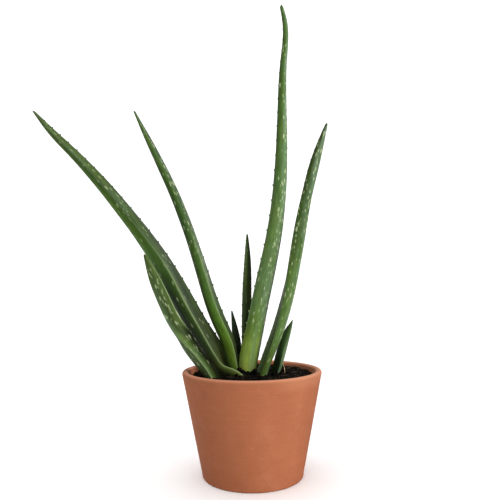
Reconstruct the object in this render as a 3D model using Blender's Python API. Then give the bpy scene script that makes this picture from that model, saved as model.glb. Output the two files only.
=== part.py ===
"""Potted aloe: a tapered terracotta pot, its soil, a short stem and eight fleshy leaves.

Metres, +Z up. The origin is the centre of the pot's underside, and -Y is the front.
Each leaf is one solid that follows a smooth curve, with a crescent section and toothed margins.
Its base is buried beside the stem, in a pocket of its own in the soil.
"""
import math

import bmesh
import bpy
import numpy as np
from mathutils import Vector

MM = 0.001
GAP = 0.3 * MM                      # clearance between pieces that touch
POCKET_GROWTH = 0.42 * MM           # of a leaf's hole in the soil, whose flat faces cut corners
POCKET_DEEPER = 1.5 * MM            # so the tall leaf's hole opens into the stem's

# Pot: a plain cone with a rounded lip
POT_HEIGHT = 95.3 * MM
POT_RIM_RADIUS = 65.0 * MM
POT_BASE_RADIUS = 46.5 * MM
POT_WALL = 6.0 * MM
POT_FLOOR = 8.0 * MM
POT_FOOT_ROUND = 1.2 * MM
POT_SIDES = 56
LIP_RADIUS = 2.4 * MM
LIP_STEPS = 4
POT_TAPER = (POT_RIM_RADIUS - POT_BASE_RADIUS) / POT_HEIGHT

# Soil: a disc of potting soil, heaped round the crown of the plant
SOIL_DROP = 5.8 * MM                # below the rim
SOIL_RINGS = 7
SOIL_SIDES = 40
HEAP_HEIGHT = 4.0 * MM
HEAP_RADIUS = 13.0 * MM
LUMP_HEIGHT = 0.7 * MM
LUMP_PITCH = 15.0 * MM
LUMP_STRETCH = 0.8                  # they run a little longer from front to back

# Stem: short and buried, tapering down
CROWN = Vector((-3.0, 18.0)) * MM   # its axis, seen from above
STEM_TOP = 75.0 * MM
STEM_BOTTOM = 30.0 * MM
STEM_TOP_RADIUS = 10.0 * MM
STEM_BOTTOM_RADIUS = 6.0 * MM
STEM_ROUND = 2.0 * MM
STEM_SIDES = 24

# Leaf section: points along the outer face and along the channel of the inner face
OUTER_POINTS = 6
CHANNEL_PLACES = (-0.8, -0.3, 0.3, 0.8)
CHANNEL_RATIO = 0.48                # channel depth to half width, low on the leaf
CHANNEL_END = 0.75                  # how far up the leaf the channel runs
TIP_CROWNING = -0.35                # the inner face bulges near the tip
TIP_LENGTH = 1.6                    # point beyond the last ring, in half widths

# Teeth: one on each margin for every two rings, left and right in turn
RING_CROWDING = 0.2                 # rings lie closer at the base and at the tip
TANGENT_STEP = 0.5 * MM
TOOTH_BASE = 2.4 * MM
TOOTH_HEIGHT = 1.3 * MM
TOOTH_LEAN = 0.5 * MM               # towards the tip
TOOTH_SHOULDER = 1.0 * MM           # half thickness of its foot, on each face beside the margin
TOOTHLESS_BELOW = 101.0 * MM
TOOTHLESS_TIP = 7.0 * MM
TOOTH_LEAST = 0.45                  # size of a tooth on the narrowest leaf
TOOTH_FULL_WIDTH = 10.0 * MM        # half width that adds one full size to that
TOOTH_BAND_SHARE = 0.6              # of the margin between two rings

# Each leaf: the pitch of its rings in mm, the scale of its teeth, and its curve from base to tip.
# A point of the curve holds x, y, z, half width and depth of the outer face in mm, and the
# compass bearing in degrees, counter-clockwise from +X, that the inner face looks to.
LEAVES = {
    "leaf_tall": (6.2, 1.0, [
        (-4.0, 17.0, 76.0, 4.5, 5.0, 90.0),
        (-4.2, 15.0, 93.0, 8.4, 8.4, 90.0),
        (1.4, 13.0, 123.0, 9.0, 9.5, 92.0),
        (11.2, 9.0, 169.0, 8.6, 8.6, 94.0),
        (23.7, 4.0, 227.0, 7.6, 7.6, 96.0),
        (30.0, 0.0, 285.0, 6.3, 6.4, 98.0),
        (32.0, -4.0, 343.0, 4.7, 5.2, 103.0),
        (34.0, -7.0, 390.0, 3.4, 4.0, 107.0),
        (36.2, -8.0, 414.0, 2.9, 3.3, 107.0),
        (35.3, -9.0, 431.0, 2.5, 2.8, 107.0),
        (32.8, -9.0, 443.0, 1.8, 2.0, 107.0),
    ]),
    "leaf_long_left": (6.0, 1.0, [
        (-13.0, 15.0, 72.0, 12.0, 8.0, 50.0),
        (-16.5, 13.0, 84.0, 15.0, 11.0, 50.0),
        (-19.5, 12.0, 92.0, 15.5, 12.5, 25.0),
        (-23.5, 12.0, 99.0, 13.5, 14.5, -4.0),
        (-29.3, 12.0, 109.0, 12.0, 16.5, -18.0),
        (-43.0, 11.0, 132.0, 11.6, 17.5, -16.0),
        (-58.4, 10.0, 159.0, 11.5, 18.3, -15.0),
        (-80.2, 7.0, 198.0, 10.5, 16.0, -10.0),
        (-108.6, 3.0, 236.5, 9.4, 12.6, -12.0),
        (-139.8, 0.0, 274.0, 7.8, 9.8, -13.0),
        (-167.4, -3.0, 303.0, 6.0, 7.2, -15.0),
        (-189.0, -6.0, 324.3, 4.3, 5.4, -15.0),
        (-206.0, -8.0, 342.5, 1.4, 1.6, -15.0),
    ]),
    "leaf_short_left": (5.6, 0.6, [
        (-15.5, 4.0, 52.0, 5.5, 6.0, -10.0),
        (-27.0, -7.0, 78.0, 7.0, 9.0, -18.0),
        (-36.2, -14.0, 97.0, 7.3, 10.4, -18.0),
        (-48.8, -15.0, 113.5, 7.2, 10.8, -17.0),
        (-58.4, -16.0, 126.0, 7.2, 10.6, -34.0),
        (-67.2, -17.0, 137.0, 6.6, 7.3, -65.0),
        (-78.2, -18.0, 158.0, 6.1, 6.8, -74.0),
        (-87.3, -20.0, 179.0, 5.2, 5.5, -75.0),
        (-96.2, -23.0, 201.5, 1.3, 1.5, -75.0),
    ]),
    "leaf_mid_left": (6.2, 1.0, [
        (-9.0, 16.5, 77.0, 5.5, 6.0, 0.0),
        (-12.8, 16.0, 94.0, 7.5, 10.0, -2.0),
        (-16.0, 16.0, 115.0, 8.2, 12.4, -6.0),
        (-26.4, 16.0, 141.0, 8.5, 12.8, -8.0),
        (-46.8, 14.0, 199.0, 8.0, 10.6, -8.0),
        (-69.2, 12.0, 259.0, 6.4, 8.1, -8.0),
        (-98.3, 10.0, 319.0, 4.2, 4.9, -8.0),
        (-113.4, 10.0, 347.6, 1.3, 1.5, -8.0),
    ]),
    "leaf_long_right": (6.0, 0.9, [
        (6.5, 6.0, 66.0, 5.0, 6.0, 185.0),
        (4.5, 1.0, 84.0, 6.5, 8.5, 188.0),
        (8.2, -1.0, 98.0, 7.0, 8.8, 192.0),
        (20.2, -2.0, 130.5, 7.0, 10.4, 192.0),
        (31.8, -4.0, 173.6, 6.8, 11.3, 180.0),
        (44.8, -6.0, 230.3, 6.8, 9.6, 155.0),
        (52.4, -7.0, 259.0, 5.8, 7.6, 142.0),
        (61.0, -8.0, 287.7, 5.2, 6.4, 125.0),
        (73.7, -9.0, 326.0, 1.3, 1.5, 110.0),
    ]),
    "leaf_small_right": (3.6, 0.8, [
        (13.0, 13.0, 70.0, 2.8, 3.0, 185.0),
        (21.8, 10.0, 92.0, 5.0, 5.4, 212.0),
        (28.6, 9.0, 116.0, 5.0, 6.8, 215.0),
        (35.4, 9.0, 132.0, 3.2, 3.8, 215.0),
        (39.2, 9.0, 139.5, 0.9, 1.0, 193.0),
    ]),
    "leaf_inner_back": (4.6, 0.9, [
        (-2.0, 29.5, 78.0, 4.0, 3.0, -85.0),
        (-3.8, 32.0, 94.0, 4.9, 4.0, -85.0),
        (-4.6, 33.5, 125.0, 5.3, 4.2, -85.0),
        (-4.0, 31.0, 169.0, 4.7, 4.0, -85.0),
        (-3.1, 30.0, 200.0, 3.4, 3.0, -85.0),
        (-3.2, 30.0, 225.0, 1.0, 1.0, -85.0),
    ]),
    "leaf_bud_back": (4.0, 0.8, [
        (-11.0, 26.0, 78.0, 2.6, 2.4, -70.0),
        (-12.2, 26.6, 92.0, 4.2, 3.6, -70.0),
        (-13.8, 27.6, 109.0, 4.8, 3.8, -70.0),
        (-16.4, 28.6, 130.0, 3.4, 3.0, -70.0),
        (-19.3, 29.0, 147.8, 0.9, 1.0, -70.0),
    ]),
}

# Base colours, roughness
TERRACOTTA = ((0.52, 0.23, 0.13, 1.0), 0.85)
POTTING_SOIL = ((0.020, 0.014, 0.010, 1.0), 0.95)
STEM_SKIN = ((0.30, 0.24, 0.13, 1.0), 0.80)
LEAF_SKIN = ((0.09, 0.17, 0.06, 1.0), 0.45)


def clear_scene():
    for thing in list(bpy.data.objects):
        bpy.data.objects.remove(thing, do_unlink=True)


def skin(name, finish):
    """A Principled material of one colour."""
    colour, roughness = finish
    material = bpy.data.materials.new(name)
    material.use_nodes = True
    shader = material.node_tree.nodes["Principled BSDF"]
    shader.inputs["Base Color"].default_value = colour
    shader.inputs["Roughness"].default_value = roughness
    shader.inputs["Metallic"].default_value = 0.0
    material.diffuse_color = colour
    return material


def finish_object(name, mesh_builder, material):
    """Turn a bmesh into a named object with outward faces and smooth round parts."""
    bmesh.ops.recalc_face_normals(mesh_builder, faces=mesh_builder.faces)
    mesh = bpy.data.meshes.new(name)
    mesh_builder.to_mesh(mesh)
    mesh_builder.free()
    mesh.shade_smooth()
    mesh.set_sharp_from_angle(angle=math.radians(40.0))
    mesh.materials.append(material)
    thing = bpy.data.objects.new(name, mesh)
    bpy.context.scene.collection.objects.link(thing)
    return thing


def turned_solid(name, profile, centre, sides, material):
    """Turn an (r, z) profile, which starts and ends on the axis, about a vertical axis."""
    builder = bmesh.new()
    rings = []
    for radius, height in profile[1:-1]:
        ring = []
        for side in range(sides):
            angle = 2.0 * math.pi * side / sides
            across = centre.x + radius * math.cos(angle)
            along = centre.y + radius * math.sin(angle)
            ring.append(builder.verts.new((across, along, height)))
        rings.append(ring)
    for low, high in zip(rings, rings[1:]):
        bridge(builder, low, high)
    close_with_fan(builder, rings[0], Vector((centre.x, centre.y, profile[0][1])))
    close_with_fan(builder, rings[-1], Vector((centre.x, centre.y, profile[-1][1])))
    return finish_object(name, builder, material)


def bridge(builder, low, high):
    """Join two rings of the same count with quads."""
    count = len(low)
    for k in range(count):
        after = (k + 1) % count
        builder.faces.new((low[k], low[after], high[after], high[k]))


def close_with_fan(builder, ring, point):
    """Close a ring with triangles to one point."""
    hub = builder.verts.new(point)
    count = len(ring)
    for k in range(count):
        builder.faces.new((ring[k], ring[(k + 1) % count], hub))


# Pot

def wall_radius(height):
    """Outer radius of the pot at a height."""
    return POT_BASE_RADIUS + POT_TAPER * height


def cavity_radius(height):
    """Inner radius of the pot at a height."""
    return wall_radius(height) - POT_WALL


def lip_round(radius, turn_from, turn_to):
    """Quarter round of the lip, as (r, z) points, centred on one edge of the wall's top."""
    points = []
    for step in range(LIP_STEPS + 1):
        turn = turn_from + (turn_to - turn_from) * step / LIP_STEPS
        across = radius + LIP_RADIUS * math.cos(turn)
        height = POT_HEIGHT - LIP_RADIUS + LIP_RADIUS * math.sin(turn)
        points.append((across, height))
    return points


def pot_profile():
    """The pot's half section, from the centre of its underside, up and over to its floor."""
    outer_round = POT_RIM_RADIUS - LIP_RADIUS
    inner_round = cavity_radius(POT_HEIGHT) + LIP_RADIUS
    profile = [(0.0, 0.0), (POT_BASE_RADIUS - POT_FOOT_ROUND, 0.0)]
    profile.append((wall_radius(POT_FOOT_ROUND), POT_FOOT_ROUND))
    profile += lip_round(outer_round, 0.0, math.pi / 2.0)
    profile += lip_round(inner_round, math.pi / 2.0, math.pi)
    profile.append((cavity_radius(POT_FLOOR), POT_FLOOR))
    profile.append((0.0, POT_FLOOR))
    return profile


def add_pot():
    terracotta = skin("terracotta", TERRACOTTA)
    return turned_solid("pot", pot_profile(), Vector((0.0, 0.0)), POT_SIDES, terracotta)


# Soil and stem

def soil_height(across, along):
    """Height of the soil at a place: low lumps, and a heap round the crown."""
    away = math.hypot(across - CROWN.x, along - CROWN.y)
    heap = HEAP_HEIGHT * math.exp(-((away / HEAP_RADIUS) ** 2))
    turn = 2.0 * math.pi / LUMP_PITCH
    lumps = math.sin(turn * across) * math.cos(turn * along * LUMP_STRETCH)
    return POT_HEIGHT - SOIL_DROP + heap + LUMP_HEIGHT * lumps


def soil_body(material):
    """A lumpy disc that fills the pot, without its pockets."""
    builder = bmesh.new()
    edge = cavity_radius(POT_HEIGHT - SOIL_DROP) - GAP - LUMP_HEIGHT
    hub = builder.verts.new((0.0, 0.0, soil_height(0.0, 0.0)))
    rings = []
    for step in range(1, SOIL_RINGS + 1):
        radius = edge * step / SOIL_RINGS
        rings.append(soil_ring(builder, radius))
    for k in range(SOIL_SIDES):
        builder.faces.new((hub, rings[0][k], rings[0][(k + 1) % SOIL_SIDES]))
    floor = POT_FLOOR + GAP
    rings.append(level_ring(builder, cavity_radius(floor) - 2.0 * GAP, floor))
    for low, high in zip(rings, rings[1:]):
        bridge(builder, low, high)
    close_with_fan(builder, rings[-1], Vector((0.0, 0.0, floor)))
    return finish_object("soil", builder, material)


def soil_ring(builder, radius):
    """One ring of the soil's surface."""
    ring = []
    for side in range(SOIL_SIDES):
        angle = 2.0 * math.pi * side / SOIL_SIDES
        across = radius * math.cos(angle)
        along = radius * math.sin(angle)
        ring.append(builder.verts.new((across, along, soil_height(across, along))))
    return ring


def level_ring(builder, radius, height):
    """One level ring of the soil's underside."""
    ring = []
    for side in range(SOIL_SIDES):
        angle = 2.0 * math.pi * side / SOIL_SIDES
        ring.append(builder.verts.new((radius * math.cos(angle), radius * math.sin(angle), height)))
    return ring


def stem_profile(grow):
    """The stem's half section, grown outward by a clearance."""
    top = STEM_TOP + grow
    bottom = STEM_BOTTOM - grow
    profile = [(0.0, bottom)]
    profile.append((STEM_BOTTOM_RADIUS - STEM_ROUND + grow, bottom))
    profile.append((STEM_BOTTOM_RADIUS + grow, bottom + STEM_ROUND))
    profile.append((STEM_TOP_RADIUS + grow, top - STEM_ROUND))
    profile.append((STEM_TOP_RADIUS - STEM_ROUND + grow, top))
    profile.append((0.0, top))
    return profile


def add_stem():
    return turned_solid("stem", stem_profile(0.0), CROWN, STEM_SIDES, skin("stem_skin", STEM_SKIN))


def add_soil():
    """The soil, with a pocket for the stem and one for each leaf."""
    material = skin("potting_soil", POTTING_SOIL)
    soil = soil_body(material)
    pockets = bpy.data.collections.new("pockets")
    bpy.context.scene.collection.children.link(pockets)
    cutters = [turned_solid("stem_pocket", stem_profile(GAP), CROWN, STEM_SIDES, material)]
    for name, leaf in LEAVES.items():
        cutters.append(leaf_pocket(name + "_pocket", leaf, material))
    for cutter in cutters:
        bpy.context.scene.collection.objects.unlink(cutter)
        pockets.objects.link(cutter)
        cutter.hide_render = True
        cutter.display_type = "WIRE"
    cut = soil.modifiers.new("pockets", "BOOLEAN")
    cut.operand_type = "COLLECTION"
    cut.collection = pockets
    cut.operation = "DIFFERENCE"
    cut.solver = "EXACT"
    return soil


# Leaves

def smooth_curve(points):
    """Chord lengths of the points, and the second derivatives of a natural cubic through them."""
    spans = np.linalg.norm(np.diff(points[:, :3], axis=0), axis=1)
    lengths = np.concatenate(([0.0], np.cumsum(spans)))
    count = len(points)
    system = np.eye(count)
    bends = np.zeros_like(points)
    slopes = np.diff(points, axis=0) / spans[:, None]
    for k in range(1, count - 1):
        system[k, k - 1] = spans[k - 1]
        system[k, k] = 2.0 * (spans[k - 1] + spans[k])
        system[k, k + 1] = spans[k]
        bends[k] = 6.0 * (slopes[k] - slopes[k - 1])
    return lengths, np.linalg.solve(system, bends)


def read_curve(points, lengths, bends, place):
    """The point of the cubic at a chord length."""
    k = int(np.clip(np.searchsorted(lengths, place) - 1, 0, len(lengths) - 2))
    span = lengths[k + 1] - lengths[k]
    after = (place - lengths[k]) / span
    before = 1.0 - after
    bow = (before ** 3 - before) * bends[k] + (after ** 3 - after) * bends[k + 1]
    return before * points[k] + after * points[k + 1] + bow * span ** 2 / 6.0


def ring_places(length, pitch):
    """Chord lengths of the rings, closer together at the base and at the tip."""
    even = np.linspace(0.0, 1.0, max(6, round(length / pitch)) + 1)
    crowding = RING_CROWDING * np.sin(2.0 * math.pi * even) / (2.0 * math.pi)
    return length * (even - crowding)


def leaf_frames(pitch, curve):
    """For each ring: centre of the chord, across and inward directions, half width, depth, share."""
    points = np.array(curve)
    points[:, :5] *= MM
    lengths, bends = smooth_curve(points)
    frames = []
    for place in ring_places(lengths[-1], pitch * MM):
        here = read_curve(points, lengths, bends, place)
        ahead = read_curve(points, lengths, bends, min(place + TANGENT_STEP, lengths[-1]))
        behind = read_curve(points, lengths, bends, max(place - TANGENT_STEP, 0.0))
        forward = Vector(ahead[:3] - behind[:3]).normalized()
        bearing = math.radians(here[5])
        facing = Vector((math.cos(bearing), math.sin(bearing), 0.0))
        facing = (facing - forward * facing.dot(forward)).normalized()
        across = forward.cross(facing)
        share = place / lengths[-1]
        frames.append((Vector(here[:3]), across, facing, here[3], here[4], share))
    return frames


def channel_depth(half_width, share):
    """Depth of the inner face's channel, which gives way to a bulge near the tip."""
    upward = min(1.0, share / CHANNEL_END)
    ease = upward * upward * (3.0 - 2.0 * upward)
    return half_width * (CHANNEL_RATIO + (TIP_CROWNING - CHANNEL_RATIO) * ease)


def section(half_width, depth, channel):
    """The crescent, as (across, inward) points: one margin, outer face, other margin, channel."""
    outline = []
    for step in range(OUTER_POINTS + 2):
        turn = math.pi * step / (OUTER_POINTS + 1)
        outline.append((half_width * math.cos(turn), -depth * math.sin(turn)))
    for place in CHANNEL_PLACES:
        outline.append((half_width * place, -channel * (1.0 - place * place)))
    return outline


def leaf_ring(builder, frame, grow):
    """One ring of a leaf's skin."""
    centre, across, facing, half_width, depth, share = frame
    outline = section(half_width, depth, channel_depth(half_width, share))
    if grow:
        outline = offset_outline(outline, grow)
    ring = []
    for sideways, inward in outline:
        ring.append(builder.verts.new(centre + across * sideways + facing * inward))
    return ring


def offset_outline(outline, distance):
    """Move each point of a closed outline outward along the mean of its edges' normals."""
    moved = []
    count = len(outline)
    for k in range(count):
        before = Vector(outline[k - 1])
        here = Vector(outline[k])
        after = Vector(outline[(k + 1) % count])
        first = (here - before).normalized()
        second = (after - here).normalized()
        normal = Vector((first.y + second.y, -first.x - second.x)).normalized()
        stretch = distance / max(0.5, normal.dot(Vector((second.y, -second.x))))
        moved.append(here - normal * stretch)
    return moved


def leaf_loft(builder, frames, grow, tooth_scale):
    """Rings of skin through the frames, closed at the base and open at the top."""
    rings = [leaf_ring(builder, frame, grow) for frame in frames]
    for k in range(len(rings) - 1):
        leaf_band(builder, k, frames, rings, tooth_scale)
    builder.faces.new(rings[0])
    return rings


def leaf_solid(name, leaf, material):
    """A whole leaf with its teeth, drawn out to a point."""
    pitch, tooth_scale, curve = leaf
    builder = bmesh.new()
    frames = leaf_frames(pitch, curve)
    rings = leaf_loft(builder, frames, 0.0, tooth_scale)
    centre, across, facing, half_width, depth, share = frames[-1]
    onward = (centre - frames[-2][0]).normalized() * half_width * TIP_LENGTH
    close_with_fan(builder, rings[-1], centre - facing * depth / 2.0 + onward)
    return finish_object(name, builder, material)


def leaf_pocket(name, leaf, material):
    """The hole that a leaf's base stands in: the buried stretch, grown and without teeth."""
    pitch, tooth_scale, curve = leaf
    builder = bmesh.new()
    rings = leaf_loft(builder, pocket_frames(leaf_frames(pitch, curve)), POCKET_GROWTH, 0.0)
    builder.faces.new(rings[-1])
    return finish_object(name, builder, material)


def pocket_frames(frames):
    """The buried rings, carried on above the soil, with the pocket's bottom set lower."""
    clear = POT_HEIGHT + HEAP_HEIGHT + LUMP_HEIGHT
    buried = [frame for frame in frames if frame[0].z < clear + frame[3]]
    downward = (frames[0][0] - frames[1][0]).normalized() * POCKET_DEEPER
    lowered = (frames[0][0] + downward,) + frames[0][1:]
    return [lowered] + buried


def leaf_band(builder, band, frames, rings, tooth_scale):
    """Join two rings of a leaf with triangles, and raise a tooth on one margin."""
    low = rings[band]
    high = rings[band + 1]
    margin = 0 if band % 2 else OUTER_POINTS + 1
    tooth = None
    if tooth_scale and has_tooth(frames, band):
        outward = frames[band][1] * (-1.0 if margin else 1.0)
        half_width = frames[band][3]
        tooth = tooth_points(
            builder, low[margin].co, high[margin].co, outward, half_width, tooth_scale)
    count = len(low)
    for k in range(count):
        after = (k + 1) % count
        if tooth and k == margin:
            toothed_quad(builder, low[after], high[after], low[k], high[k], tooth)
        elif tooth and after == margin:
            toothed_quad(builder, low[k], high[k], low[after], high[after], tooth)
        else:
            builder.faces.new((low[k], low[after], high[after]))
            builder.faces.new((low[k], high[after], high[k]))


def has_tooth(frames, band):
    """Teeth start above the soil and stop short of the tip."""
    tip_away = (frames[-1][0] - frames[band][0]).length
    return frames[band][0].z > TOOTHLESS_BELOW and tip_away > TOOTHLESS_TIP


def tooth_points(builder, low, high, outward, half_width, scale):
    """Foot, tip and heel of a tooth in the middle of one band of the margin."""
    along = high - low
    size = scale * min(1.0, TOOTH_LEAST + half_width / TOOTH_FULL_WIDTH)
    reach = min(TOOTH_BASE * size, along.length * TOOTH_BAND_SHARE) / 2.0
    forward = along.normalized()
    middle = (low + high) / 2.0
    lean = forward * TOOTH_LEAN * size
    foot = builder.verts.new(middle - forward * reach)
    point = builder.verts.new(middle + lean + outward * TOOTH_HEIGHT * size)
    heel = builder.verts.new(middle + forward * reach)
    return foot, point, heel


def toothed_quad(builder, inner_low, inner_high, low, high, tooth):
    """A band's face beside a tooth: flat triangles round one side of the tooth's foot."""
    foot, point, heel = tooth
    margin_middle = (foot.co + heel.co) / 2.0
    inner_middle = (inner_low.co + inner_high.co) / 2.0
    reach = min(TOOTH_SHOULDER, (inner_middle - margin_middle).length / 2.0)
    inward = (inner_middle - margin_middle).normalized()
    shoulder = builder.verts.new(margin_middle + inward * reach)
    builder.faces.new((inner_low, low, foot))
    builder.faces.new((inner_low, foot, shoulder))
    builder.faces.new((inner_low, shoulder, inner_high))
    builder.faces.new((inner_high, shoulder, heel))
    builder.faces.new((inner_high, heel, high))
    builder.faces.new((foot, point, shoulder))
    builder.faces.new((shoulder, point, heel))


def add_leaves():
    for name, leaf in LEAVES.items():
        leaf_solid(name, leaf, skin(name + "_skin", LEAF_SKIN))


def main():
    clear_scene()
    add_pot()
    add_stem()
    add_soil()
    add_leaves()


main()
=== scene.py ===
"""Looks of the potted aloe: fine leaves, soil, clay pot, floor, lights and camera.

Metres, +Z up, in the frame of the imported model. Each leaf follows the same curve as its solid,
with a finer skin, whose attributes tell its material where on the leaf a point lies.
"""
import math
import random

import bmesh
import bpy
import numpy as np
from mathutils import Matrix, Vector, noise

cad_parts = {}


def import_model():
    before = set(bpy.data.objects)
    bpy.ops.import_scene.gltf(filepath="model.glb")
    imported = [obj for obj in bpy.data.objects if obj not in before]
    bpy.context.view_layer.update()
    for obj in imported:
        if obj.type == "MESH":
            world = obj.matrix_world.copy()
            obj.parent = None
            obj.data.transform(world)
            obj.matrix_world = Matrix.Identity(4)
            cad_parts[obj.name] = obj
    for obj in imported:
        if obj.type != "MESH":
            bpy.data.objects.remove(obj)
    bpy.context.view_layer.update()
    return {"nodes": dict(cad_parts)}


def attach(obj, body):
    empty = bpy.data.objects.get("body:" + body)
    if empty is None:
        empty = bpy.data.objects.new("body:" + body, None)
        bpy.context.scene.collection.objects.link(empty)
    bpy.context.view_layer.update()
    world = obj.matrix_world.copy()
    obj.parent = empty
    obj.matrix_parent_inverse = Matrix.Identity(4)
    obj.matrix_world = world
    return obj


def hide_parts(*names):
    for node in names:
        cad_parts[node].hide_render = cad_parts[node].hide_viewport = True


MM = 0.001

# Camera: in front of the pot, 75 mm above its rim, tilted up a little
CAMERA_AT = Vector((-0.0005, -0.4883, 0.1698))
CAMERA_PITCH = math.radians(90.0 + 4.41)
CAMERA_ROLL = math.radians(-0.65)
CAMERA_NEAR = 0.01
LENS_MM = 36.92
SENSOR_MM = 36.0

# Studio: a bright sky and one soft lamp at the right
FLOOR_REACH = 12.0
SKY_STRENGTH = 1.30
KEY_AT = Vector((1.0, -1.0, 0.95))
KEY_TARGET = Vector((0.0, 0.0, 0.15))
KEY_SIZE = 0.8
KEY_POWER = 40.0

# Pot and soil, as in the solids
POT_HEIGHT = 95.3 * MM
POT_RIM_RADIUS = 65.0 * MM
POT_BASE_RADIUS = 46.5 * MM
POT_WALL = 6.0 * MM
POT_FLOOR = 8.0 * MM
POT_TAPER = (POT_RIM_RADIUS - POT_BASE_RADIUS) / POT_HEIGHT
LIP_RADIUS = 2.4 * MM
FOOT_RADIUS = 1.4 * MM
SOIL_DROP = 5.8 * MM
CROWN = Vector((-3.0, 18.0)) * MM
HEAP_HEIGHT = 4.0 * MM
HEAP_RADIUS = 13.0 * MM

# Leaf skin: its rings, the points round a ring, its channel and its tip
RING_PITCH = 0.55 * MM
TANGENT_STEP = 0.5 * MM
OUTER_STEPS = 30
INNER_STEPS = 22
MARGIN_CROWDING = 0.72
MARGIN_EASINGS = 3
CHANNEL_RATIO = 0.48
CHANNEL_END = 0.75
TIP_CROWNING = -0.35
TIP_LENGTH = 1.6
TIP_RINGS = (0.22, 0.42, 0.6, 0.75, 0.87, 0.95)
TIP_BLUNTNESS = 1.2

# Swellings of the flesh, a factor on the leaf's section: mean, lengths along the leaf, and heights
SWELL_MEAN = 0.984
SLOW_SWELL = 17.0 * MM
QUICK_SWELL = 7.3 * MM
SLOW_SHARE = 0.010
QUICK_SHARE = 0.006

# Teeth, and the pale line of the margin, which is a painted highlight
BAND_CROWDING = 0.2
TOOTH_HALF_BASE = 1.45 * MM
TOOTH_HEIGHT = 1.25 * MM
TOOTH_LEAN = 0.5 * MM
TOOTH_CURL = 1.0 * MM
TOOTH_REACH = 1.15 * MM
TOOTH_TAPER = 1.4
TOOTH_POINT = 0.35
TOOTH_RISE = 1.7
TOOTH_FALL = 1.2
TOOTHLESS_BELOW = 101.0 * MM
TOOTHLESS_TIP = 7.0 * MM
TOOTH_LEAST = 0.45
TOOTH_FULL_WIDTH = 10.0 * MM
LINE_WIDTH = 0.9 * MM
LINE_FULL_WIDTH = 7.0 * MM

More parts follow.
